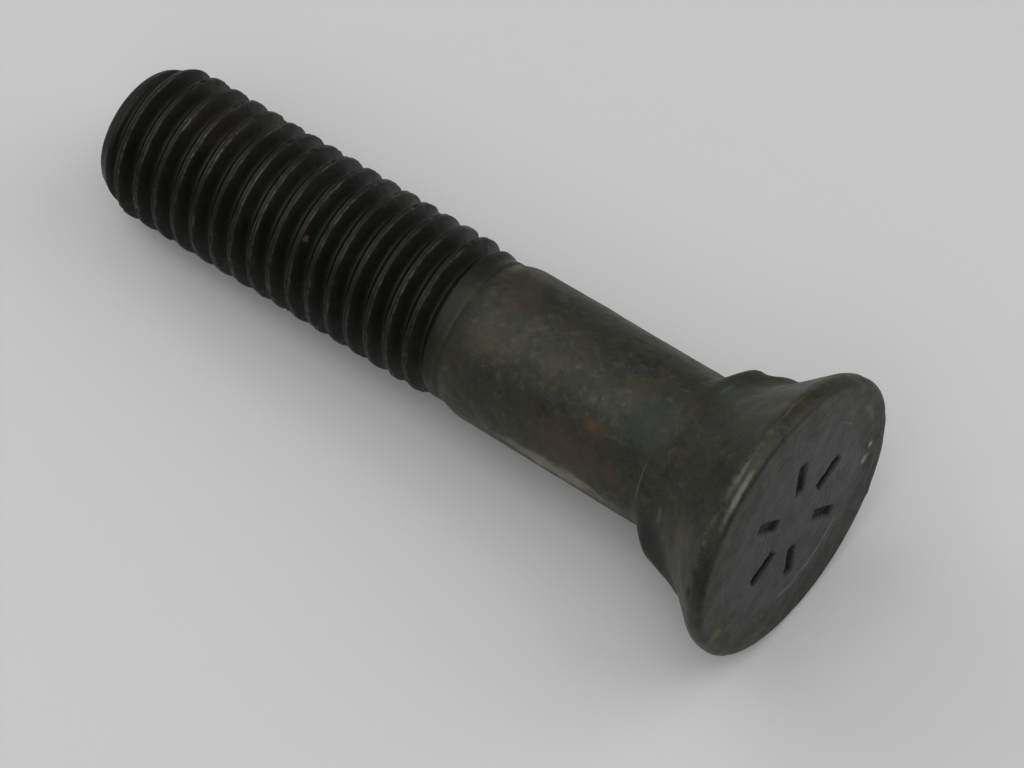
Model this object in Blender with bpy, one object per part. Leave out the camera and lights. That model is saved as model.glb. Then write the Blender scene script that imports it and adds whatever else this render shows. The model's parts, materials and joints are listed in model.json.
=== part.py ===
"""Plow bolt, 5/8-11 by 3 inch, with a flat countersunk head on a square neck.

One solid piece of dark heat-treated steel. The head and the square neck are forged,
the thread is rolled on a blank that is thinner than the shank, so its last turns
fade out on a smooth band in front of a small shoulder.

The bolt is built on its own axis, local +Z, which runs from the flat face of the
head (z = 0) to the end of the thread. Local +X is its upper side. Then it is laid
on the ground plane, where it rests on the rim of the head and on a thread crest,
with the head at +X. Units are metres.
"""
import math

import bmesh
import bpy
from mathutils import Matrix, Vector

# Head: flat face, short upright rim, 80 degree cone
LENGTH = 0.0762
HEAD_DIAMETER = 0.0280
RIM_HEIGHT = 0.00165
RIM_ROUNDING = 0.00045
CONE_ANGLE = math.radians(80)

# Square neck: wide flats, corners that thin out towards the shank
NECK_WIDTH = 0.01565
NECK_CORNER_DIAMETER = 0.0216
NECK_TIP_CORNER_DIAMETER = 0.0190
NECK_LENGTH = 0.0103
NECK_CORNER_START = 0.0060
NECK_CHAMFER_ANGLE = math.radians(45)
NECK_TURN = math.radians(22)

# Shank, and the shoulder down to the blank of the thread
SHANK_DIAMETER = 0.01545
SHANK_END = 0.0334
SHOULDER_LENGTH = 0.0013
BLANK_DIAMETER = 0.01445

# Rolled thread, right hand, 11 turns to the inch
THREAD_DIAMETER = 0.01550
PITCH = 0.0254 / 11
THREAD_ANGLE = math.radians(60)
CREST_SHARE = 0.18
ROOT_SHARE = 0.16
RUNOUT_START = 0.0353
RUNOUT_LENGTH = 0.0036
THREAD_START_AT_TOP = 0.0688

# End of the bolt: a blunt chamfer below the thread's root
TIP_DIAMETER = 0.0124
TIP_CHAMFER_LENGTH = 0.0028

# Facets round the axis, and how far hidden ends reach into what they join
SEGMENTS = 48
ROUNDING_STEPS = 3
OVERLAP = 0.0008
MERGE = 0.000002

STEEL_COLOUR = (0.052, 0.050, 0.046, 1.0)
STEEL_ROUGHNESS = 0.48
STEEL_METALLIC = 0.75


def clear_scene():
    for old in list(bpy.data.objects):
        bpy.data.objects.remove(old, do_unlink=True)


def make_steel():
    material = bpy.data.materials.new("dark_steel")
    material.use_nodes = True
    shader = material.node_tree.nodes["Principled BSDF"]
    shader.inputs["Base Color"].default_value = STEEL_COLOUR
    shader.inputs["Roughness"].default_value = STEEL_ROUGHNESS
    shader.inputs["Metallic"].default_value = STEEL_METALLIC
    return material


def link_object(name, bm, is_cutter=False):
    bmesh.ops.recalc_face_normals(bm, faces=bm.faces[:])
    mesh = bpy.data.meshes.new(name)
    bm.to_mesh(mesh)
    bm.free()
    obj = bpy.data.objects.new(name, mesh)
    bpy.context.scene.collection.objects.link(obj)
    if is_cutter:
        obj.hide_render = True
        obj.display_type = "WIRE"
    return obj


def turned(outline, turn=0.0):
    """Solid of revolution from (radius, z) points that start and end on the axis."""
    bm = bmesh.new()
    start = Matrix.Rotation(turn, 3, "Z")
    points = [bm.verts.new(start @ Vector((radius, 0, z))) for radius, z in outline]
    profile = points + [bm.edges.new(pair) for pair in zip(points, points[1:])]
    bmesh.ops.spin(
        bm, geom=profile, axis=(0, 0, 1), cent=(0, 0, 0),
        angle=math.tau, steps=SEGMENTS, use_merge=True,
    )
    bmesh.ops.remove_doubles(bm, verts=bm.verts[:], dist=MERGE)
    return bm


def combine(obj, other, operation):
    cut = obj.modifiers.new(operation.lower(), "BOOLEAN")
    cut.operation = operation
    cut.solver = "EXACT"
    cut.object = other


def make_head_and_shank():
    head_radius = HEAD_DIAMETER / 2
    shank_radius = SHANK_DIAMETER / 2
    blank_radius = BLANK_DIAMETER / 2
    outline = [(0, 0)]
    for step in range(ROUNDING_STEPS + 1):
        turn = math.pi / 2 * step / ROUNDING_STEPS
        radius = head_radius - RIM_ROUNDING * (1 - math.sin(turn))
        outline.append((radius, RIM_ROUNDING * (1 - math.cos(turn))))
    outline.append((head_radius, RIM_HEIGHT))
    cone_length = (head_radius - shank_radius) / math.tan(CONE_ANGLE / 2)
    outline.append((shank_radius, RIM_HEIGHT + cone_length))
    outline.append((shank_radius, SHANK_END))
    slope = (shank_radius - blank_radius) / SHOULDER_LENGTH
    buried_length = SHOULDER_LENGTH + OVERLAP
    outline.append((shank_radius - slope * buried_length, SHANK_END + buried_length))
    outline.append((0, SHANK_END + buried_length))
    # A facet, not an edge, faces the ground
    return link_object("head_and_shank", turned(outline, math.pi / SEGMENTS), True)


def make_square_neck():
    """The square bar, trimmed by a turned envelope that rounds and tapers its corners."""
    bar = bmesh.new()
    bmesh.ops.create_cube(bar, size=1)
    inner_end = RIM_HEIGHT + OVERLAP
    chamfer_length = (NECK_TIP_CORNER_DIAMETER - BLANK_DIAMETER) / 2 / math.tan(NECK_CHAMFER_ANGLE)
    outer_end = NECK_LENGTH + chamfer_length + OVERLAP
    bmesh.ops.scale(bar, vec=(NECK_WIDTH, NECK_WIDTH, outer_end - inner_end), verts=bar.verts)
    bmesh.ops.translate(bar, vec=(0, 0, (inner_end + outer_end) / 2), verts=bar.verts)
    bmesh.ops.rotate(bar, matrix=Matrix.Rotation(NECK_TURN, 3, "Z"), verts=bar.verts)
    neck = link_object("square_neck", bar, True)
    inside = RIM_HEIGHT + OVERLAP / 2
    envelope = [
        (0, inside),
        (NECK_CORNER_DIAMETER / 2, inside),
        (NECK_CORNER_DIAMETER / 2, NECK_CORNER_START),
        (NECK_TIP_CORNER_DIAMETER / 2, NECK_LENGTH),
        (BLANK_DIAMETER / 2, NECK_LENGTH + chamfer_length),
        (0, NECK_LENGTH + chamfer_length),
    ]
    combine(neck, link_object("neck_envelope", turned(envelope), True), "INTERSECT")
    return neck


def make_thread():
    """One thread groove swept round the axis as a screw, faded out to the plain blank."""
    crest = THREAD_DIAMETER / 2
    blank = BLANK_DIAMETER / 2
    crest_flat = CREST_SHARE * PITCH
    root_flat = ROOT_SHARE * PITCH
    flank = (PITCH - crest_flat - root_flat) / 2
    root = crest - flank / math.tan(THREAD_ANGLE / 2)
    lowest = SHANK_END + SHOULDER_LENGTH / 3
    highest = LENGTH + OVERLAP
    first_turn = math.ceil((THREAD_START_AT_TOP - lowest) / PITCH) + 1
    turns = first_turn + math.ceil((highest - THREAD_START_AT_TOP) / PITCH) + 1
    start = THREAD_START_AT_TOP - first_turn * PITCH - crest_flat / 2
    outline = [
        (crest, start),
        (crest, start + crest_flat),
        (root, start + crest_flat + flank),
        (root, start + crest_flat + flank + root_flat),
        (crest, start + PITCH),
    ]
    bm = bmesh.new()
    points = [bm.verts.new((radius, 0, z)) for radius, z in outline]
    profile = points + [bm.edges.new(pair) for pair in zip(points, points[1:])]
    bmesh.ops.spin(
        bm, geom=profile, axis=(0, 0, 1), cent=(0, 0, 0),
        dvec=(0, 0, PITCH / SEGMENTS), angle=math.tau * turns, steps=SEGMENTS * turns,
    )
    bmesh.ops.remove_doubles(bm, verts=bm.verts[:], dist=MERGE)
    for vert in bm.verts:
        share = min(max((vert.co.z - RUNOUT_START) / RUNOUT_LENGTH, 0), 1)
        radius = vert.co.xy.length
        vert.co.xy *= (blank + (radius - blank) * share) / radius
    for z, side in ((lowest, -1), (highest, 1)):
        cut = bmesh.ops.bisect_plane(
            bm, geom=bm.verts[:] + bm.edges[:] + bm.faces[:], dist=MERGE,
            plane_co=(0, 0, z), plane_no=(0, 0, side), clear_outer=True,
        )
        rim = [item for item in cut["geom_cut"] if isinstance(item, bmesh.types.BMEdge)]
        bmesh.ops.edgeloop_fill(bm, edges=rim)
    return link_object("thread", bm, True)


def make_tip_blank():
    """The turned blank that limits the thread: a wide cylinder with the end chamfer."""
    chamfer_slope = (THREAD_DIAMETER - TIP_DIAMETER) / 2 / TIP_CHAMFER_LENGTH
    outer = THREAD_DIAMETER / 2 + OVERLAP
    chamfer_start = LENGTH - TIP_CHAMFER_LENGTH - OVERLAP / chamfer_slope
    outline = [
        (0, SHANK_END),
        (outer, SHANK_END),
        (outer, chamfer_start),
        (TIP_DIAMETER / 2, LENGTH),
        (0, LENGTH),
    ]
    return link_object("tip_blank", turned(outline, math.pi / SEGMENTS), True)


def finished_mesh(obj, name):
    """Mesh of an object with its modifiers carried out."""
    graph = bpy.context.evaluated_depsgraph_get()
    mesh = bpy.data.meshes.new_from_object(obj.evaluated_get(graph))
    mesh.name = name
    return mesh


def lay_down(mesh):
    """Transform from the bolt's own axes to its rest, with the head at +X."""
    rim_drop = HEAD_DIAMETER / 2 * math.cos(math.pi / SEGMENTS)
    tilt = min(
        math.atan2(rim_drop + vert.co.x, vert.co.z - RIM_HEIGHT)
        for vert in mesh.vertices
        if vert.co.z > LENGTH / 2
    )
    turned_down = Matrix.Rotation(-math.pi / 2 - tilt, 4, "Y")
    placed = [turned_down @ vert.co for vert in mesh.vertices]
    lows = [min(point[axis] for point in placed) for axis in range(3)]
    highs = [max(point[axis] for point in placed) for axis in range(3)]
    shift = Vector((-(lows[0] + highs[0]) / 2, -(lows[1] + highs[1]) / 2, -lows[2]))
    return Matrix.Translation(shift) @ turned_down


clear_scene()
thread = make_thread()
combine(thread, make_tip_blank(), "INTERSECT")
body = make_head_and_shank()
combine(body, make_square_neck(), "UNION")
combine(body, thread, "UNION")

bolt = bpy.data.objects.new("plow_bolt", finished_mesh(body, "plow_bolt"))
bpy.context.scene.collection.objects.link(bolt)
bolt.matrix_world = lay_down(bolt.data)
bolt.data.materials.clear()
bolt.data.materials.append(make_steel())
bolt.data.shade_smooth()
bolt.data.set_sharp_from_angle(angle=math.radians(25))
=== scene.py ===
"""Plow bolt, 5/8-11 by 3 inch: its worn and stained surface, as it lies on a pale floor.

Lengths are metres, apart from the two tables of stains with patches of painted light and shade, and
of face marks, which say theirs.
The bolt is shaped on its own axes and then laid down: z runs from the flat face of the
head to the end of the thread, x is its upper side, and an angle round the bolt is
counted from x towards y.
"""
import json
import math

import bmesh
import bpy
from mathutils import Matrix, Vector, noise


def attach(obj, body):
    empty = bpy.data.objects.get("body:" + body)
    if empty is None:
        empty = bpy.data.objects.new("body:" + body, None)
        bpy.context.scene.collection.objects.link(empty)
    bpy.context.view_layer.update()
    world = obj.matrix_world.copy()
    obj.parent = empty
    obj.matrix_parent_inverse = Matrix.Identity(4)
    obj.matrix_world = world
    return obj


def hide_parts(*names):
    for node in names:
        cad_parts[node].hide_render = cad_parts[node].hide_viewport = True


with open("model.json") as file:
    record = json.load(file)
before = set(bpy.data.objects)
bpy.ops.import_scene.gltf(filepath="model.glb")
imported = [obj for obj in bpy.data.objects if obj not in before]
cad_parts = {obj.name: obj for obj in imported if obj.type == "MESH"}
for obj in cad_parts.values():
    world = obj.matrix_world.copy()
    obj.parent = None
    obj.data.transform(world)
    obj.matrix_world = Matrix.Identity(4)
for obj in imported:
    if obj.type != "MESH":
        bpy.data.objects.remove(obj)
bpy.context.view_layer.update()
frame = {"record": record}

# Plow bolt
# One piece of steel: a bar upset hot into a flat countersunk head on a square neck, with
# a thread rolled on its thinner end, then hardened, which left a dark scale. It lies on
# the rim of its head and on one crest of the thread.

mounts = {mount["name"]: Vector(mount["pos_m"]) for mount in frame["record"]["mounts"]}
along = (mounts["thread_end"] - mounts["head_face"]).normalized()
across = Vector((0, 1, 0))
laid = Matrix((across.cross(along), across, along)).transposed().to_4x4()
laid.translation = mounts["head_face"]
LENGTH = (mounts["thread_end"] - mounts["head_face"]).length

# Facets round the axis, and the distance below which two points are one
SEGMENTS = 168
MERGE = 0.000001

# Head, a worn rim over an 80 degree cone
HEAD_RADIUS = 0.01397
RIM_HEIGHT = 0.0016
RIM_ROUNDING = 0.0006
RIM_BACK_ROUNDING = 0.0005
CONE_SLOPE = math.tan(math.radians(40))

# Square neck, whose four corners thin out unevenly towards the shank
NECK_WIDTH = 0.01565
NECK_TURN = math.radians(22)
CORNER_START = 0.0060
CORNER_RADIUS = 0.0108
CORNER_TIP_RADIUS = 0.0096
CORNER_ENDS = (0.01070, 0.01050, 0.01025, 0.00800)
CORNER_STEPS = (0.00017, 0.00005, 0.00000, -0.00005)
CORNER_STEP_START = 0.0068
CORNER_STEP_LENGTH = 0.0032
CORNER_CHAMFER_FOOT = 0.0120
CORNER_ROUNDING = 0.0005
NECK_ROOT_FILLET = 0.0005
CONE_FILLET = 0.0016

# Shank, and the shoulder down to the blank that the thread is rolled on
SHANK_RADIUS = 0.00768
SHOULDER_START = 0.0334
SHOULDER_LENGTH = 0.0012
SHOULDER_ROUNDING = 0.0004
BLANK_RADIUS = 0.0072

# Rolled thread, right hand, 11 turns to the inch
THREAD_RADIUS = 0.00768
PITCH = 0.0254 / 11
CREST_AT_TOP = 0.0688
CREST_HALF_WIDTH = 0.00021
THREAD_DEPTH = 0.00136
FLANK_SLOPE = 1 / math.tan(math.radians(30))
CREST_ROUNDING = 0.00006
ROOT_ROUNDING = 0.00045
SEAM_DEPTH = 0.00003
SEAM_WIDTH = 0.00005
RUNOUT_START = 0.0353
RUNOUT_LENGTH = 0.0036
GROOVE_RUNOUT_LENGTH = 0.0024
THREAD_JOIN = 0.0352

# End of the bolt
TIP_RADIUS = 0.0062
TIP_CHAMFER_LENGTH = 0.0028
TIP_CHAMFER_SLOPE = (THREAD_RADIUS - TIP_RADIUS) / TIP_CHAMFER_LENGTH
TIP_CHAMFER_ROUNDING = 0.00025
TIP_EDGE_ROUNDING = 0.0002

# Unevenness of the forged skin, broad and fine: waves to the metre, and their height
BROAD_WAVES = 170
BROAD_HEIGHT = 0.00005
FINE_WAVES = 620
FINE_HEIGHT = 0.000025
FINE_SHIFT = Vector((7, 3, 5))

# Dents along the crests of the thread and the edge of the face
DENT_START = 0.20
CREST_DENT_SIZE = 0.0010
CREST_DENT_DEPTH = 0.00030
CREST_DENT_REACH = 0.0003
RIM_DENT_SIZE = 0.0011
RIM_DENT_DEPTH = 0.00060
# A burr and a notch on the edge of the face: angle, height, half width along the edge
RIM_FLAWS = [
    (math.radians(128), 0.00040, 0.00035),
    (math.radians(184), -0.00025, 0.00040),
]

# Dashes struck into the face, the common plain mark on a bolt head
MARK_COUNT = 6
MARK_TURN = math.radians(12)
MARK_START = 0.0034
MARK_END = 0.0070
MARK_HALF_WIDTH = 0.00066
MARK_DEPTH = 0.00034
MARK_SLOPE_WIDTH = 0.00024

# Ridges that turning left on the face
RIDGE_HEIGHT = 0.000009
RIDGE_SPACING = 0.00085
RIDGE_WANDER = 0.6
RIDGE_WANDER_WAVES = 90

# Worn lines: half widths, the depths below a crest between which its line fades, and the
# radius from which the back of the rim is worn
WORN_CREST_WIDTH = 0.00006
WORN_CREST_FADE_START = 0.0004
WORN_CREST_FADE_END = 0.0001
WORN_TIP_WIDTH = 0.00015
WORN_TIP_LENGTH = 0.001
WORN_RIM_WIDTH = 0.0004
WORN_RIM_START = 0.0130

# Spacing of the mesh rings along the outline, from the face to the end of the thread
FACE_RINGS = 0.0004
MARK_RINGS = 0.00021
MARK_MARGIN = 0.0003
OUTER_FACE_RINGS = 0.0003
RIM_RINGS = 0.0002
NECK_RINGS = 0.00016
SHANK_START = 0.0130
SHANK_RINGS = 0.0005
SHOULDER_MARGIN = 0.0003
SHOULDER_RINGS = 0.00012
END_RINGS = 0.0005
RIM_STEPS = 6
TIP_STEPS = 3
# Rings beside the middle of a crest, up to the root
CREST_RINGS = [0.00007, 0.00013, 0.00018, 0.00023, 0.00031, 0.00052, 0.00076, 0.00092, 0.00104]
# Gap left between two pieces of mesh until it is bridged
JOIN_GAP = 0.0001


def greater(a, b, fillet):
    """The greater of two sizes, with a fillet where they meet."""
    overlap = max(fillet - abs(a - b), 0) / fillet
    return max(a, b) + overlap * overlap * fillet / 4


def lesser(a, b, rounding):
    """The lesser of two sizes, with a rounding where they meet."""
    return -greater(-a, -b, rounding)


def ramp(value, start, end):
    """0 at start, 1 at end, with a smooth run between them."""
    share = min(max((value - start) / (end - start), 0), 1)
    return share * share * (3 - 2 * share)


def spread(start, end, spacing):
    """Even steps from start up to end, which is left out."""
    count = max(1, round(abs(end - start) / spacing))
    return [start + (end - start) * step / count for step in range(count)]


def by_corner(values, angle):
    """Value at an angle round the neck, blended between those of its four corners."""
    total = 0
    for number, value in enumerate(values):
        facing = max(math.cos(angle - NECK_TURN - math.pi / 4 - number * math.pi / 2), 0)
        total += value * facing * facing
    return total


def forged_radius(angle, z):
    """Radius of the rim, cone, square neck, shank and shoulder."""
    cone = HEAD_RADIUS - (z - RIM_HEIGHT) * CONE_SLOPE
    from_flat = (angle - NECK_TURN + math.pi / 4) % (math.pi / 2) - math.pi / 4
    flat = NECK_WIDTH / 2 / math.cos(from_flat)
    corner_end = by_corner(CORNER_ENDS, angle)
    taper = (CORNER_RADIUS - CORNER_TIP_RADIUS) / (corner_end - CORNER_START)
    step_place = min(max((z - CORNER_STEP_START) / CORNER_STEP_LENGTH, 0), 1)
    step = by_corner(CORNER_STEPS, angle) * math.sin(math.tau * step_place)
    corner = CORNER_RADIUS - max(z - CORNER_START, 0) * taper + step
    chamfer_slope = (CORNER_TIP_RADIUS - SHANK_RADIUS) / (CORNER_CHAMFER_FOOT - corner_end)
    chamfer = CORNER_TIP_RADIUS - (z - corner_end) * chamfer_slope
    neck = lesser(flat, lesser(corner, chamfer, CORNER_ROUNDING), CORNER_ROUNDING)
    shoulder_slope = (SHANK_RADIUS - BLANK_RADIUS) / SHOULDER_LENGTH
    shoulder = SHANK_RADIUS - (z - SHOULDER_START) * shoulder_slope
    shank = lesser(SHANK_RADIUS, shoulder, SHOULDER_ROUNDING)
    body = greater(shank, neck, NECK_ROOT_FILLET)
    return lesser(greater(body, cone, CONE_FILLET), HEAD_RADIUS, RIM_BACK_ROUNDING)


def unevenness(place):
    """How far the forged skin stands off its true shape."""
    broad = noise.noise(place * BROAD_WAVES) * BROAD_HEIGHT
    fine = noise.noise(place * FINE_WAVES + FINE_SHIFT) * FINE_HEIGHT
    return broad + fine


def knocked_off(place, size, depth):
    """How much a rubbed edge has lost at a place: small dents with sound edge between."""
    return max(noise.noise(place / size) - DENT_START, 0) * depth


def rim_flaw(angle, z):
    """How far a burr stands out of the edge of the face, or a notch goes in."""
    total = 0
    for flaw_angle, height, half_width in RIM_FLAWS:
        aside = (angle - flaw_angle + math.pi) % math.tau - math.pi
        total += height * math.exp(-(aside * HEAD_RADIUS / half_width) ** 2)
    return total * (1 - ramp(z, RIM_ROUNDING, RIM_HEIGHT))


def mark_depth(angle, radius):
    """Depth of the struck dashes at a place on the face."""
    step = math.tau / MARK_COUNT
    aside = ((angle - MARK_TURN + step / 2) % step - step / 2) * radius
    inner = ramp(radius, MARK_START, MARK_START + MARK_SLOPE_WIDTH)
    outer = 1 - ramp(radius, MARK_END - MARK_SLOPE_WIDTH, MARK_END)
    side = 1 - ramp(abs(aside), MARK_HALF_WIDTH - MARK_SLOPE_WIDTH, MARK_HALF_WIDTH)
    return MARK_DEPTH * inner * outer * side


def face_depth(angle, radius):
    """Depth of the face below its highest plane: turning ridges and struck dashes."""
    around = Vector((math.cos(angle), math.sin(angle), radius * RIDGE_WANDER_WAVES))
    wander = noise.noise(around) * RIDGE_WANDER
    ridges = RIDGE_HEIGHT * (1 + math.sin(radius / RIDGE_SPACING * math.tau + wander))
    return ridges + mark_depth(angle, radius)


def thread_drop(offset):
    """Depth of the thread below its crest, at a distance along the bolt from the crest."""
    flank = (abs(offset) - CREST_HALF_WIDTH) * FLANK_SLOPE
    depth = lesser(greater(flank, 0, CREST_ROUNDING), THREAD_DEPTH, ROOT_ROUNDING)
    return depth + SEAM_DEPTH * math.exp(-(offset / SEAM_WIDTH) ** 2)


def crest_offset(angle, z):
    """Distance along the bolt from the nearest crest of the thread."""
    crest = CREST_AT_TOP + PITCH * angle / math.tau
    return (z - crest + PITCH / 2) % PITCH - PITCH / 2


def sweep(outline, rise=0.0):
    """Mesh of an outline spun once round the axis, climbing by rise as it turns."""
    bm = bmesh.new()
    points = [bm.verts.new((radius, 0, z)) for radius, z in outline]
    edges = [bm.edges.new(pair) for pair in zip(points, points[1:])]
    bmesh.ops.spin(
        bm, geom=points + edges, axis=(0, 0, 1), cent=(0, 0, 0),
        dvec=(0, 0, rise / SEGMENTS), angle=math.tau, steps=SEGMENTS, use_merge=not rise,
    )
    bmesh.ops.remove_doubles(bm, verts=bm.verts[:], dist=MERGE)
    return bm


def rounded_edge(radius, z, rounding, side, steps):
    """Quarter round between a flat end and the side, from the end towards the side."""
    places = []
    for step in range(steps):
        turn = math.pi / 2 * step / steps
        places.append((
            radius - rounding * (1 - math.sin(turn)),
            z + side * rounding * (1 - math.cos(turn)),
        ))
    return places


def make_head_and_shank():
    """Turned rings from the middle of the face to the blank, pressed to shape."""
    edge_radius = HEAD_RADIUS - RIM_ROUNDING
    radii = spread(0, MARK_START - MARK_SLOPE_WIDTH, FACE_RINGS)
    radii += spread(radii[-1] + MARK_MARGIN, MARK_END + MARK_MARGIN, MARK_RINGS)
    radii += spread(MARK_END + MARK_MARGIN, edge_radius, OUTER_FACE_RINGS)
    outline = [(radius, 0) for radius in radii]
    outline += rounded_edge(HEAD_RADIUS, 0, RIM_ROUNDING, 1, RIM_STEPS)
    heights = spread(RIM_ROUNDING, RIM_HEIGHT, RIM_RINGS)
    heights += spread(RIM_HEIGHT, SHANK_START, NECK_RINGS)
    heights += spread(SHANK_START, SHOULDER_START - SHOULDER_MARGIN, SHANK_RINGS)
    heights += spread(SHOULDER_START - SHOULDER_MARGIN, THREAD_JOIN - JOIN_GAP, SHOULDER_RINGS)
    bm = sweep(outline + [(HEAD_RADIUS, z) for z in heights])
    for vert in bm.verts:
        radius = vert.co.xy.length
        angle = math.atan2(vert.co.y, vert.co.x)
        if vert.co.z > RIM_ROUNDING - MERGE:
            wanted = forged_radius(angle, vert.co.z)
            wanted += unevenness(vert.co) * ramp(wanted, BLANK_RADIUS, SHANK_RADIUS)
            if vert.co.z < RIM_HEIGHT:
                wanted -= knocked_off(vert.co, RIM_DENT_SIZE, RIM_DENT_DEPTH) / 2
            wanted = min(wanted, HEAD_RADIUS) + rim_flaw(angle, vert.co.z)
            vert.co.xy *= wanted / radius
        else:
            inside = 1 - ramp(radius, HEAD_RADIUS - 2 * RIM_ROUNDING, HEAD_RADIUS)
            lost = knocked_off(vert.co, RIM_DENT_SIZE, RIM_DENT_DEPTH) - rim_flaw(angle, 0)
            near_edge = ramp(radius, HEAD_RADIUS - 1.5 * RIM_ROUNDING, HEAD_RADIUS)
            vert.co.z += face_depth(angle, radius) * inside
            vert.co.xy *= (radius - lost * near_edge) / max(radius, MERGE)
    return bm


def make_thread():
    """One crest and groove swept as a screw, repeated, and faded out at both ends."""
    before_crest = [-PITCH / 2] + [-offset for offset in reversed(CREST_RINGS)]
    offsets = before_crest + [0.0] + CREST_RINGS + [PITCH / 2]
    turns_below = math.ceil((CREST_AT_TOP - THREAD_JOIN) / PITCH) + 1
    turns = turns_below + math.ceil((LENGTH - CREST_AT_TOP) / PITCH) + 1
    start = CREST_AT_TOP - turns_below * PITCH
    bm = sweep([(THREAD_RADIUS - thread_drop(x), start + x) for x in offsets], PITCH)
    one_turn = bm.verts[:] + bm.edges[:] + bm.faces[:]
    for turn in range(1, turns):
        copied = bmesh.ops.duplicate(bm, geom=one_turn)["geom"]
        copied_verts = [item for item in copied if isinstance(item, bmesh.types.BMVert)]
        bmesh.ops.translate(bm, vec=(0, 0, turn * PITCH), verts=copied_verts)
    bmesh.ops.remove_doubles(bm, verts=bm.verts[:], dist=MERGE)
    for vert in bm.verts:
        radius = vert.co.xy.length
        runout = RUNOUT_LENGTH if radius > BLANK_RADIUS else GROOVE_RUNOUT_LENGTH
        share = ramp(vert.co.z, RUNOUT_START, RUNOUT_START + runout)
        crest_share = ramp(radius, THREAD_RADIUS - CREST_DENT_REACH, THREAD_RADIUS)
        dented = radius - crest_share * knocked_off(vert.co, CREST_DENT_SIZE, CREST_DENT_DEPTH)
        wanted = BLANK_RADIUS + (dented - BLANK_RADIUS) * share
        chamfer = TIP_RADIUS + (LENGTH - vert.co.z) * TIP_CHAMFER_SLOPE
        vert.co.xy *= lesser(wanted, chamfer, TIP_CHAMFER_ROUNDING) / radius
    for z, side in ((THREAD_JOIN, -1), (LENGTH - TIP_EDGE_ROUNDING - JOIN_GAP, 1)):
        bmesh.ops.bisect_plane(
            bm, geom=bm.verts[:] + bm.edges[:] + bm.faces[:], dist=MERGE,
            plane_co=(0, 0, z), plane_no=(0, 0, side), clear_outer=True,
        )
    return bm


def make_end():
    """The flat end of the bolt with its rounded edge."""
    radii = spread(0, TIP_RADIUS - TIP_EDGE_ROUNDING, END_RINGS)
    outline = [(radius, LENGTH) for radius in radii]
    outline += rounded_edge(TIP_RADIUS, LENGTH, TIP_EDGE_ROUNDING, -1, TIP_STEPS)
    outline.append((TIP_RADIUS, LENGTH - TIP_EDGE_ROUNDING))
    return sweep(outline)


def close_gap(bm, low, high):
    """Bridges the two open rims whose edges lie between two heights."""
    rims = []
    for edge in bm.edges:
        if edge.is_boundary and low < (edge.verts[0].co.z + edge.verts[1].co.z) / 2 < high:
            rims.append(edge)
    bmesh.ops.bridge_loops(bm, edges=rims)


def edge_exposure(angle, z, radius):
    """How much a place stands out where things rub: crests, the end's edge, the rim's back."""
    if z > RUNOUT_START:
        beside = abs(abs(crest_offset(angle, z)) - CREST_HALF_WIDTH) / WORN_CREST_WIDTH
        fade_start = THREAD_RADIUS - WORN_CREST_FADE_START
        crest = math.exp(-beside * beside)
        crest *= ramp(radius, fade_start, THREAD_RADIUS - WORN_CREST_FADE_END)
        tip_edge = math.exp(-((radius - TIP_RADIUS) / WORN_TIP_WIDTH) ** 2)
        tip_edge *= ramp(z, LENGTH - WORN_TIP_LENGTH, LENGTH)
        return max(crest, tip_edge)
    rim = math.exp(-((z - RIM_HEIGHT) / WORN_RIM_WIDTH) ** 2)
    return rim * ramp(radius, WORN_RIM_START, HEAD_RADIUS)


def make_bolt():
    """The whole skin in one mesh, laid down, with its worn and struck places marked."""
    bm = bmesh.new()
    for part in (make_head_and_shank(), make_thread(), make_end()):
        joined = bpy.data.meshes.new("joined")
        part.to_mesh(joined)
        part.free()
        bm.from_mesh(joined)
        bpy.data.meshes.remove(joined)
    close_gap(bm, SHOULDER_START, RUNOUT_START)
    close_gap(bm, LENGTH - TIP_CHAMFER_LENGTH, LENGTH + MERGE)
    bmesh.ops.recalc_face_normals(bm, faces=bm.faces[:])
    wear_layer = bm.verts.layers.float.new("worn_edge")
    struck_layer = bm.verts.layers.float.new("struck")
    for vert in bm.verts:
        radius = vert.co.xy.length
        angle = math.atan2(vert.co.y, vert.co.x)
        vert[wear_layer] = edge_exposure(angle, vert.co.z, radius)
        if vert.co.z < RIM_ROUNDING:
            vert[struck_layer] = mark_depth(angle, radius) / MARK_DEPTH
    bmesh.ops.transform(bm, matrix=laid, verts=bm.verts)
    mesh = bpy.data.meshes.new("plow_bolt_surface")
    bm.to_mesh(mesh)
    bm.free()
    mesh.shade_smooth()
    made = bpy.data.objects.new("plow_bolt_surface", mesh)
    bpy.context.scene.collection.objects.link(made)
    return made


def fill_inputs(tree, node, inputs):
    """Sets a node's inputs, by name or number, to plain values or to linked sockets."""
    for name, value in inputs.items():
        if isinstance(value, bpy.types.NodeSocket):
            tree.links.new(value, node.inputs[name])
        else:
            node.inputs[name].default_value = value


def add_node(tree, kind, inputs, **settings):
    """A shader node with its inputs and its settings."""
    made = tree.nodes.new("ShaderNode" + kind)
    for name, value in settings.items():
        setattr(made, name, value)
    fill_inputs(tree, made, inputs)
    return made


def figure(tree, operation, *values):
    """Result of a Math node on values or sockets."""
    return add_node(tree, "Math", dict(enumerate(values)), operation=operation).outputs[0]


def smooth_share(tree, value, start, end):
    """0 where the value is at start and 1 where it is at end."""
    inputs = {"Value": value, "From Min": start, "From Max": end}
    return add_node(tree, "MapRange", inputs, interpolation_type="SMOOTHSTEP").outputs[0]


# Sockets of a Mix node that mixes colours
MIX_SHARE = 0
MIX_BELOW = 6
MIX_ABOVE = 7
MIX_RESULT = 2


def blend_colours(tree, share, below, above):
    """Colour below where the share is 0 and above where it is 1."""
    inputs = {MIX_SHARE: share, MIX_BELOW: below, MIX_ABOVE: above}
    return add_node(tree, "Mix", inputs, data_type="RGBA").outputs[MIX_RESULT]


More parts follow.
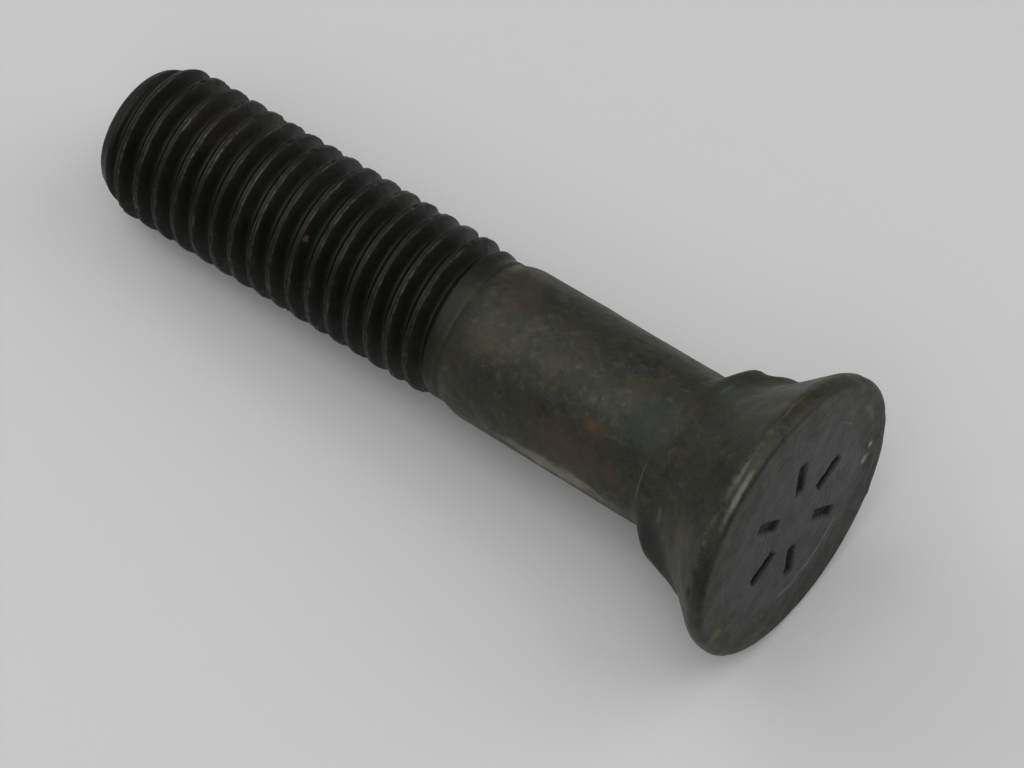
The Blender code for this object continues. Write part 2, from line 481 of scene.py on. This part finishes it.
# Detail and roughness of the noise in fine grain and ragged rims, and in clouds
GRAIN_DETAIL = 6.0
GRAIN_RAGGEDNESS = 0.72
CLOUD_DETAIL = 5.0
CLOUD_RAGGEDNESS = 0.62


def noise_value(tree, place, size, detail=3.0, roughness=0.55):
    """Cloudy values round 0.5 whose largest clouds have about the size given."""
    inputs = {"Vector": place, "Scale": 1 / size, "Detail": detail, "Roughness": roughness}
    return add_node(tree, "TexNoise", inputs).outputs[0]


def length_of(tree, vector):
    """Length of a vector."""
    return add_node(tree, "VectorMath", {0: vector}, operation="LENGTH").outputs["Value"]


def away_from_axis(tree, vector):
    """Length of a vector's part across the bolt."""
    across_bolt = add_node(tree, "VectorMath", {0: vector, 1: (1, 1, 0)}, operation="MULTIPLY")
    return length_of(tree, across_bolt.outputs[0])


def along_axis(tree, vector):
    """Length of a vector's part along the bolt."""
    return add_node(tree, "SeparateXYZ", {0: vector}).outputs["Z"]


def new_mask_group(name, inputs):
    """A node group that puts out a mask: its tree, its inputs inside and its result."""
    tree = bpy.data.node_groups.new(name, "ShaderNodeTree")
    for socket_name, kind in inputs:
        tree.interface.new_socket(socket_name, in_out="INPUT", socket_type="NodeSocket" + kind)
    tree.interface.new_socket("Mask", in_out="OUTPUT", socket_type="NodeSocketFloat")
    inside = tree.nodes.new("NodeGroupInput").outputs
    return tree, inside, tree.nodes.new("NodeGroupOutput").inputs["Mask"]


def use_group(tree, group, inputs):
    """The mask of a group that is placed in a tree with its own values."""
    made = tree.nodes.new("ShaderNodeGroup")
    made.node_tree = group
    fill_inputs(tree, made, inputs)
    return made.outputs["Mask"]


def make_blotches():
    """Clouds with a soft rim: a mask."""
    tree, given, result = new_mask_group(
        "blotches", [("Place", "Vector"), ("Scale", "Float"), ("Start", "Float"), ("End", "Float")],
    )
    inputs = {
        "Vector": given["Place"], "Scale": given["Scale"],
        "Detail": CLOUD_DETAIL, "Roughness": CLOUD_RAGGEDNESS,
    }
    clouds = add_node(tree, "TexNoise", inputs).outputs[0]
    tree.links.new(smooth_share(tree, clouds, given["Start"], given["End"]), result)
    return tree


# How far the rings that a turning tool leaves wander, and over what size
RING_WANDER = 0.0007
RING_WANDER_SIZE = 0.006


def make_ring_lines():
    """Fine uneven rings round the bolt's axis, as a turning tool leaves them: a mask."""
    tree, given, result = new_mask_group("ring_lines", [("Place", "Vector"), ("Scale", "Float")])
    radius = away_from_axis(tree, given["Place"])
    wander = noise_value(tree, given["Place"], RING_WANDER_SIZE, 1.0)
    uneven = figure(tree, "MULTIPLY_ADD", wander, RING_WANDER, radius)
    inputs = {"W": uneven, "Scale": given["Scale"], "Detail": 3.0, "Roughness": 0.7}
    lines = add_node(tree, "TexNoise", inputs, noise_dimensions="1D").outputs[0]
    tree.links.new(smooth_share(tree, lines, 0.3, 0.7), result)
    return tree


# Rim of a stain: size and strength of its raggedness, and the distances, raggedness
# included, at which the mask is full and gone
RAGGED_SIZE = 0.0012
RAGGEDNESS = 1.5
STAIN_FULL = 1.05
STAIN_GONE = 1.75


def ragged_oval(tree, place, first, first_half, second, second_half):
    """A ragged oval patch, from two distances and the oval's half widths along them."""
    first_share = figure(tree, "DIVIDE", first, first_half)
    second_share = figure(tree, "DIVIDE", second, second_half)
    squares = figure(tree, "MULTIPLY", first_share, first_share)
    squares = figure(tree, "MULTIPLY_ADD", second_share, second_share, squares)
    distance = figure(tree, "SQRT", squares)
    ragged = noise_value(tree, place, RAGGED_SIZE, GRAIN_DETAIL, GRAIN_RAGGEDNESS)
    distance = figure(tree, "MULTIPLY_ADD", ragged, RAGGEDNESS, distance)
    return smooth_share(tree, distance, STAIN_GONE, STAIN_FULL)


def make_stain_and_light_patch():
    """A ragged oval patch round a place on the bolt: a mask."""
    tree, given, result = new_mask_group(
        "stain_and_light_patch",
        [("Place", "Vector"), ("Centre", "Vector"), ("Along", "Float"), ("Round", "Float")],
    )
    inputs = {0: given["Place"], 1: given["Centre"]}
    offset = add_node(tree, "VectorMath", inputs, operation="SUBTRACT").outputs[0]
    beside = away_from_axis(tree, offset)
    height = along_axis(tree, offset)
    mask = ragged_oval(tree, given["Place"], height, given["Along"], beside, given["Round"])
    tree.links.new(mask, result)
    return tree


def make_arc():
    """A ragged stretch of a ring on the face: a mask."""
    tree, given, result = new_mask_group(
        "arc",
        [("Place", "Vector"), ("Centre", "Vector"), ("Across", "Float"), ("Round", "Float")],
    )
    inputs = {0: given["Place"], 1: given["Centre"]}
    offset = add_node(tree, "VectorMath", inputs, operation="DISTANCE").outputs["Value"]
    radius = length_of(tree, given["Place"])
    middle = length_of(tree, given["Centre"])
    aside = figure(tree, "SUBTRACT", radius, middle)
    mask = ragged_oval(tree, given["Place"], aside, given["Across"], offset, given["Round"])
    tree.links.new(mask, result)
    return tree


# Size of the stretches of an edge that are rubbed, and of the specks in them
WORN_STRETCH_SIZE = 0.0035
WORN_SPECK_SIZE = 0.0007
WORN_STRENGTH = 1.1


def make_worn_edges():
    """Edges rubbed bright in uneven stretches: a mask."""
    tree, given, result = new_mask_group(
        "worn_edges", [("Place", "Vector"), ("Exposure", "Float")],
    )
    stretches = noise_value(tree, given["Place"], WORN_STRETCH_SIZE, 3.0)
    specks = noise_value(tree, given["Place"], WORN_SPECK_SIZE, 4.0, 0.75)
    amount = figure(tree, "MULTIPLY", smooth_share(tree, stretches, 0.38, 0.62), WORN_STRENGTH)
    amount = figure(tree, "MULTIPLY", amount, smooth_share(tree, specks, 0.36, 0.62))
    mask = figure(tree, "MULTIPLY", amount, given["Exposure"])
    tree.links.new(figure(tree, "MINIMUM", mask, 1.0), result)
    return tree


# Colours of the scale, the stains and the worn steel
THREAD_BLACK = (0.0052, 0.0070, 0.0050, 1)
THREAD_BROWN = (0.0125, 0.0112, 0.0082, 1)
SCALE_GREY = (0.0280, 0.0295, 0.0235, 1)
SCALE_OLIVE = (0.0330, 0.0310, 0.0188, 1)
SCALE_BLUE_BLACK = (0.0170, 0.0200, 0.0155, 1)
SCALE_BROWN = (0.0370, 0.0305, 0.0188, 1)
SCALE_DARK = (0.0120, 0.0120, 0.0090, 1)
SCALE_PALE = (0.0640, 0.0620, 0.0500, 1)
FACE_GREY = (0.0380, 0.0405, 0.0395, 1)
FACE_PALE = (0.0700, 0.0720, 0.0690, 1)
FACE_BROWN = (0.0300, 0.0285, 0.0240, 1)
WORN_GREY = (0.1050, 0.1050, 0.0960, 1)
STRUCK_BLACK = (0.0055, 0.0058, 0.0052, 1)

# Clouds: size, noise values at which a cloud starts and is full, shift of the noise
THREAD_CLOUDS = (0.0050, 0.50, 0.68, (0.4, 0, 0))
TURNED_CLOUDS = (0.0050, 0.40, 0.62, (0.3, 0.3, 0))
RUBBED_CLOUDS = (0.0040, 0.42, 0.62, (0, 0.5, 0))
SCALY_CLOUDS = (0.0007, 0.50, 0.66, (0.1, 0.6, 0))
FLECKS = (0.0009, 0.69, 0.74, (0.6, 0, 0.2))
DULL_CLOUDS = (0.0020, 0.30, 0.70, (0.5, 0, 0))

# Clouds in the scale, each over the last, with a strength and a colour
SCALE_CLOUDS = [
    (0.0024, 0.40, 0.60, (0.1, 0, 0), 1.00, SCALE_OLIVE),
    (0.0042, 0.48, 0.64, (0, 0.2, 0), 0.80, SCALE_BLUE_BLACK),
    (0.0017, 0.50, 0.66, (0, 0, 0.3), 0.70, SCALE_BROWN),
    (0.0006, 0.50, 0.70, (0.2, 0.1, 0), 0.55, SCALE_DARK),
    (0.0008, 0.50, 0.72, (0, 0.3, 0.1), 0.50, SCALE_PALE),
]

# Stains, and patches of painted light and shade, in degrees and millimetres: angle, z,
# radius, half length along, half width round, strength, colour
STAINS_AND_PAINTED_LIGHT = [
    (315, 18.0, 7.8, 2.2, 1.8, 0.35, (0.062, 0.040, 0.022, 1)),
    (316, 18.2, 7.7, 0.8, 0.6, 0.45, (0.090, 0.044, 0.022, 1)),
    (288, 19.5, 7.8, 7.0, 3.4, 0.60, (0.062, 0.047, 0.026, 1)),
    # Painted reflection: a pale strip of light from the floor along the underside of the shank
    (262, 21.0, 7.8, 8.5, 1.5, 0.90, (0.175, 0.160, 0.130, 1)),
    # Painted shade: a dark patch where the shank meets the neck on the side towards the camera
    (335, 13.5, 7.8, 3.4, 4.5, 0.70, (0.017, 0.022, 0.019, 1)),
    (325, 31.0, 7.8, 2.4, 2.4, 0.25, (0.070, 0.058, 0.032, 1)),
    (20, 31.5, 7.8, 2.5, 4.0, 0.50, (0.055, 0.044, 0.026, 1)),
    (30, 9.8, 8.5, 1.6, 2.6, 0.60, (0.034, 0.048, 0.044, 1)),
    (300, 4.5, 11.5, 3.0, 2.2, 0.50, (0.080, 0.060, 0.040, 1)),
    # Painted shade: dark patches on the underside of the neck, which faces down, away from the
    # lamps
    (270, 10.0, 9.0, 1.8, 2.0, 0.70, (0.014, 0.018, 0.018, 1)),
    (257, 8.0, 8.6, 2.8, 2.6, 0.60, (0.013, 0.015, 0.012, 1)),
    (336, 1.35, 13.97, 0.26, 2.9, 0.60, (0.120, 0.120, 0.100, 1)),
    (329, 0.55, 13.95, 0.36, 3.8, 0.58, (0.140, 0.143, 0.124, 1)),
    (8, 1.50, 13.97, 0.18, 2.8, 0.50, (0.110, 0.095, 0.070, 1)),
    # Partly wear, partly painted highlight: a thin pale arc along the foot of the neck
    (300, 11.9, 7.75, 0.14, 3.4, 0.55, (0.110, 0.106, 0.086, 1)),
    (32, 10.3, 8.00, 0.20, 1.8, 0.55, (0.090, 0.096, 0.084, 1)),
    (287, 9.0, 8.40, 0.35, 1.2, 0.50, (0.110, 0.108, 0.092, 1)),
    (276, 8.0, 8.60, 0.30, 0.9, 0.50, (0.110, 0.108, 0.092, 1)),
    (331, 0.95, 13.97, 0.25, 3.0, 0.60, (0.022, 0.022, 0.015, 1)),
    (290, 0.7, 13.6, 1.5, 3.8, 0.85, (0.013, 0.015, 0.012, 1)),
    (253, 0.2, 12.2, 2.0, 1.0, 0.80, (0.110, 0.095, 0.026, 1)),
    (97, 0.1, 11.3, 0.5, 0.5, 0.95, (0.260, 0.260, 0.250, 1)),
    (104, 0.1, 10.6, 0.5, 0.7, 0.95, (0.230, 0.230, 0.220, 1)),
    (324.9, 51.7, 7.4, 0.5, 0.5, 1.00, (0.170, 0.105, 0.060, 1)),
    (10, 66.0, 7.5, 5.0, 4.0, 0.45, (0.028, 0.021, 0.014, 1)),
    (49, 38.7, 7.5, 0.6, 0.6, 0.80, (0.004, 0.004, 0.004, 1)),
    (38, 33.5, 7.8, 0.7, 0.7, 0.80, (0.010, 0.010, 0.008, 1)),
]

# Rubbed and darkened stretches of rings on the face, in degrees and millimetres: angle,
# radius, half width, half length, strength, colour
FACE_ARCS = [
    (165, 11.4, 1.9, 9.5, 0.60, (0.0190, 0.0180, 0.0145, 1)),
    (235, 11.6, 2.0, 5.5, 0.25, (0.0200, 0.0190, 0.0150, 1)),
    (108, 11.8, 2.2, 11.0, 0.75, (0.0120, 0.0118, 0.0100, 1)),
    (165, 13.3, 0.5, 10.0, 0.80, (0.0080, 0.0080, 0.0070, 1)),
    (150, 8.45, 0.26, 2.8, 0.80, (0.1400, 0.1450, 0.1400, 1)),
    (172, 8.65, 0.24, 3.0, 0.85, (0.1500, 0.1550, 0.1500, 1)),
    (192, 9.05, 0.26, 2.4, 0.75, (0.1300, 0.1350, 0.1300, 1)),
    (55, 9.80, 0.14, 2.4, 0.55, (0.1100, 0.1150, 0.1100, 1)),
    (72, 11.90, 0.50, 2.0, 0.45, (0.1000, 0.1050, 0.1000, 1)),
    (210, 12.30, 0.18, 2.4, 0.55, (0.1100, 0.1120, 0.1050, 1)),
    (110, 12.40, 0.14, 2.2, 0.50, (0.1200, 0.1220, 0.1180, 1)),
    (128, 13.20, 0.55, 1.3, 0.95, (0.0050, 0.0050, 0.0045, 1)),
    (96, 12.60, 0.35, 0.5, 0.90, (0.0060, 0.0060, 0.0055, 1)),
    (342, 5.70, 0.45, 0.4, 0.80, (0.0120, 0.0120, 0.0115, 1)),
]

MILLIMETRE = 0.001

# Where the thread's black starts and is full along the bolt, its strength and its wander
THREAD_TINT_START = SHOULDER_START + 0.0010
THREAD_TINT_END = RUNOUT_START + 0.0024
THREAD_TINT = 0.93
THREAD_TINT_WANDER = 0.0012
WANDER_SIZE = 0.003

# Noise scales of the fine and broad turning marks, and how strongly they show
FINE_MARKS = 2600.0
BROAD_MARKS = 700.0
FINE_MARKS_TINT = 0.55
BROAD_MARKS_TINT = 0.35
RING_RELIEF = 0.45

# Brown outer ring of the face, and the heights between which the face's colours end
OUTER_RING_START = 0.0098
OUTER_RING_END = 0.0115
OUTER_RING_WANDER = 0.002
OUTER_RING_TINT = 0.75
FACE_TINT_FULL = 0.00012
FACE_TINT_GONE = 0.00045

# How strongly flecks, worn edges and struck dashes show
FLECK_TINT = 0.50
WORN_TINT = 0.75
STRUCK_TINT = 0.90

# Gloss and metal of the scale, and what wear, dashes and thread add
ROUGHNESS = 0.42
ROUGHNESS_SPREAD = 0.15
WORN_SMOOTHNESS = 0.08
METALLIC = 0.60
WORN_METALLIC = 0.20
STRUCK_METALLIC = 0.38
THREAD_METALLIC = 0.08

# Grain of the scale
GRAIN_SIZE = 0.0006
GRAIN_HEIGHT = 0.00009
GRAIN_STRENGTH = 0.7


def spot(angle, away, z):
    """Place on the bolt's own axes, from degrees and millimetres."""
    turn = math.radians(angle)
    return Vector((away * math.cos(turn), away * math.sin(turn), z)) * MILLIMETRE


def make_dark_steel():
    """Heat-treated steel: scale, stains, patches of painted light and shade, worn edges, turning
    marks on the face.
    """
    material = bpy.data.materials.new("dark_scaled_steel")
    material.use_nodes = True
    tree = material.node_tree
    shader = tree.nodes["Principled BSDF"]
    blotches = make_blotches()
    ring_lines = make_ring_lines()
    stain_and_light_patch = make_stain_and_light_patch()
    arc = make_arc()
    worn_edges = make_worn_edges()

    object_place = add_node(tree, "TexCoord", {}).outputs["Object"]
    inputs = {"Vector": object_place, "Location": laid.translation, "Rotation": laid.to_euler()}
    place = add_node(tree, "Mapping", inputs, vector_type="TEXTURE").outputs[0]
    height = along_axis(tree, place)
    radius = away_from_axis(tree, place)

    def clouds(size, start, end, shift):
        moved = add_node(tree, "VectorMath", {0: place, 1: shift}, operation="ADD").outputs[0]
        inputs = {"Place": moved, "Scale": 1 / size, "Start": start, "End": end}
        return use_group(tree, blotches, inputs)

    def overlay(below, mask, strength, above):
        return blend_colours(tree, figure(tree, "MULTIPLY", mask, strength), below, above)

    # Scale on the forged skin, with brown, olive and blue-black clouds and a fine grain
    colour = SCALE_GREY
    for size, cloud_start, cloud_full, shift, strength, cloud_colour in SCALE_CLOUDS:
        mask = clouds(size, cloud_start, cloud_full, shift)
        colour = overlay(colour, mask, strength, cloud_colour)

    # The thread is blacker, and its edge towards the shank wanders a little
    wobble = noise_value(tree, place, WANDER_SIZE, 2.0)
    reach = figure(tree, "MULTIPLY_ADD", wobble, THREAD_TINT_WANDER, height)
    on_thread = smooth_share(tree, reach, THREAD_TINT_START, THREAD_TINT_END)
    on_thread = figure(tree, "MULTIPLY", on_thread, THREAD_TINT)
    thread = overlay(THREAD_BLACK, clouds(*THREAD_CLOUDS), 1.0, THREAD_BROWN)
    colour = blend_colours(tree, on_thread, colour, thread)

    # The face is cleaner and greyer than the forged skin, with a browner, scalier outer ring
    fine_marks = use_group(tree, ring_lines, {"Place": place, "Scale": FINE_MARKS})
    broad_marks = use_group(tree, ring_lines, {"Place": place, "Scale": BROAD_MARKS})
    turned = figure(tree, "MULTIPLY", fine_marks, clouds(*TURNED_CLOUDS))
    face = overlay(FACE_GREY, turned, FINE_MARKS_TINT, FACE_PALE)
    outer = figure(tree, "MULTIPLY_ADD", wobble, OUTER_RING_WANDER, radius)
    outer = smooth_share(tree, outer, OUTER_RING_START, OUTER_RING_END)
    outer = figure(tree, "MULTIPLY", outer, OUTER_RING_TINT)
    face = blend_colours(tree, outer, face, FACE_BROWN)
    rubbed = figure(tree, "MULTIPLY", broad_marks, clouds(*RUBBED_CLOUDS))
    face = overlay(face, rubbed, BROAD_MARKS_TINT, FACE_PALE)
    scaly = figure(tree, "MULTIPLY", outer, clouds(*SCALY_CLOUDS))
    face = blend_colours(tree, scaly, face, SCALE_DARK)
    for angle, away, half_width, half_length, strength, arc_colour in FACE_ARCS:
        inputs = {
            "Place": place, "Centre": spot(angle, away, 0),
            "Across": half_width * MILLIMETRE, "Round": half_length * MILLIMETRE,
        }
        face = overlay(face, use_group(tree, arc, inputs), strength, arc_colour)
    on_face = smooth_share(tree, height, FACE_TINT_GONE, FACE_TINT_FULL)
    colour = blend_colours(tree, on_face, colour, face)

    # Stains, and patches of painted light and shade: a painted floor reflection under the shank,
    # painted shade on the neck and a partly painted highlight at its foot
    for angle, z, away, half_along, half_round, strength, stain_and_light_colour in STAINS_AND_PAINTED_LIGHT:
        inputs = {
            "Place": place, "Centre": spot(angle, away, z),
            "Along": half_along * MILLIMETRE, "Round": half_round * MILLIMETRE,
        }
        colour = overlay(colour, use_group(tree, stain_and_light_patch, inputs), strength, stain_and_light_colour)

    # Pale flecks where the scale is knocked off, worn edges and the struck dashes
    colour = overlay(colour, clouds(*FLECKS), FLECK_TINT, WORN_GREY)
    exposure = add_node(tree, "Attribute", {}, attribute_name="worn_edge").outputs["Fac"]
    worn = use_group(tree, worn_edges, {"Place": place, "Exposure": exposure})
    colour = overlay(colour, worn, WORN_TINT, WORN_GREY)
    struck = add_node(tree, "Attribute", {}, attribute_name="struck").outputs["Fac"]
    colour = overlay(colour, struck, STRUCK_TINT, STRUCK_BLACK)
    tree.links.new(colour, shader.inputs["Base Color"])

    # Gloss in uneven patches, smoother and more metallic where rubbed
    dull = clouds(*DULL_CLOUDS)
    roughness = figure(tree, "MULTIPLY_ADD", dull, ROUGHNESS_SPREAD, ROUGHNESS)
    smoother = figure(tree, "MULTIPLY", worn, WORN_SMOOTHNESS)
    roughness = figure(tree, "SUBTRACT", roughness, smoother)
    tree.links.new(roughness, shader.inputs["Roughness"])
    metallic = figure(tree, "MULTIPLY_ADD", worn, WORN_METALLIC, METALLIC)
    metallic = figure(tree, "MULTIPLY_ADD", struck, STRUCK_METALLIC, metallic)
    metallic = figure(tree, "MULTIPLY_ADD", on_thread, THREAD_METALLIC, metallic)
    tree.links.new(metallic, shader.inputs["Metallic"])

    # Grain of the scale, and turning marks on the face
    grain = noise_value(tree, place, GRAIN_SIZE, GRAIN_DETAIL, GRAIN_RAGGEDNESS)
    plain_face = figure(tree, "SUBTRACT", on_face, struck)
    marks = figure(tree, "MULTIPLY", figure(tree, "MULTIPLY", turned, plain_face), RING_RELIEF)
    relief = figure(tree, "ADD", grain, marks)
    inputs = {"Height": relief, "Strength": GRAIN_STRENGTH, "Distance": GRAIN_HEIGHT}
    tree.links.new(add_node(tree, "Bump", inputs).outputs[0], shader.inputs["Normal"])
    return material


bolt = make_bolt()
bolt.data.materials.append(make_dark_steel())
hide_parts("plow_bolt")
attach(bolt, "root")

# Floor
# A wide sheet of pale grey board that the bolt lies on.
FLOOR_SIZE = 4.0
FLOOR_COLOUR = (0.54, 0.545, 0.54, 1)
FLOOR_ROUGHNESS = 0.9
FLOOR_SPECULAR = 0.1

floor_bm = bmesh.new()
bmesh.ops.create_grid(floor_bm, x_segments=1, y_segments=1, size=FLOOR_SIZE / 2)
floor_mesh = bpy.data.meshes.new("floor")
floor_bm.to_mesh(floor_mesh)
floor_bm.free()
floor = bpy.data.objects.new("floor", floor_mesh)
bpy.context.scene.collection.objects.link(floor)
board = bpy.data.materials.new("pale_board")
board.use_nodes = True
board_inputs = board.node_tree.nodes["Principled BSDF"].inputs
board_inputs["Base Color"].default_value = FLOOR_COLOUR
board_inputs["Roughness"].default_value = FLOOR_ROUGHNESS
board_inputs["Specular IOR Level"].default_value = FLOOR_SPECULAR
floor_mesh.materials.append(board)

# Light
# A dim pale room with four soft boxes: overhead, in front, at the thread's end and behind.
ROOM_COLOUR = (1, 1, 1, 1)
ROOM_STRENGTH = 0.22
LAMP_DISTANCE = 0.9
# Share of the floor's light, azimuth from x towards y and elevation in degrees, size
LAMPS = [
    (0.45, 0, 89, 1.30),
    (0.36, 278, 60, 0.85),
    (0.15, 180, 40, 0.65),
    (0.18, 42, 42, 0.70),
]

world = bpy.data.worlds.new("room")
bpy.context.scene.world = world
world.use_nodes = True
room_inputs = world.node_tree.nodes["Background"].inputs
room_inputs["Color"].default_value = ROOM_COLOUR
room_inputs["Strength"].default_value = ROOM_STRENGTH
for share, azimuth, elevation, lamp_size in LAMPS:
    turn = math.radians(azimuth)
    rise = math.radians(elevation)
    level = math.cos(rise)
    away = Vector((level * math.cos(turn), level * math.sin(turn), math.sin(rise)))
    lamp_data = bpy.data.lights.new("soft_box", "AREA")
    lamp_data.size = lamp_size
    lamp_data.energy = share * (math.pi * LAMP_DISTANCE) ** 2 / math.sin(rise)
    lamp = bpy.data.objects.new("soft_box", lamp_data)
    lamp.location = away * LAMP_DISTANCE
    lamp.rotation_euler = (-away).to_track_quat("-Z", "Y").to_euler()
    bpy.context.scene.collection.objects.link(lamp)

# Camera
# A long lens from above, on the head's side, as the bolt was photographed.
CAMERA_AIM = Vector((0.00845, -0.00323, 0.0120))
CAMERA_AZIMUTH = math.radians(38.15)
CAMERA_ELEVATION = math.radians(57.69)
CAMERA_DISTANCE = 0.4310
CAMERA_LENS = 168.28
CAMERA_NEAR = 0.01

camera_data = bpy.data.cameras.new("camera")
camera_data.lens = CAMERA_LENS
camera_data.clip_start = CAMERA_NEAR
camera = bpy.data.objects.new("camera", camera_data)
towards_camera = Vector((
    math.sin(CAMERA_AZIMUTH) * math.cos(CAMERA_ELEVATION),
    -math.cos(CAMERA_AZIMUTH) * math.cos(CAMERA_ELEVATION),
    math.sin(CAMERA_ELEVATION),
))
camera.location = CAMERA_AIM + towards_camera * CAMERA_DISTANCE
camera.rotation_euler = (-towards_camera).to_track_quat("-Z", "Y").to_euler()
bpy.context.scene.collection.objects.link(camera)
bpy.context.scene.camera = camera

bpy.context.scene.view_settings.view_transform = "Standard"
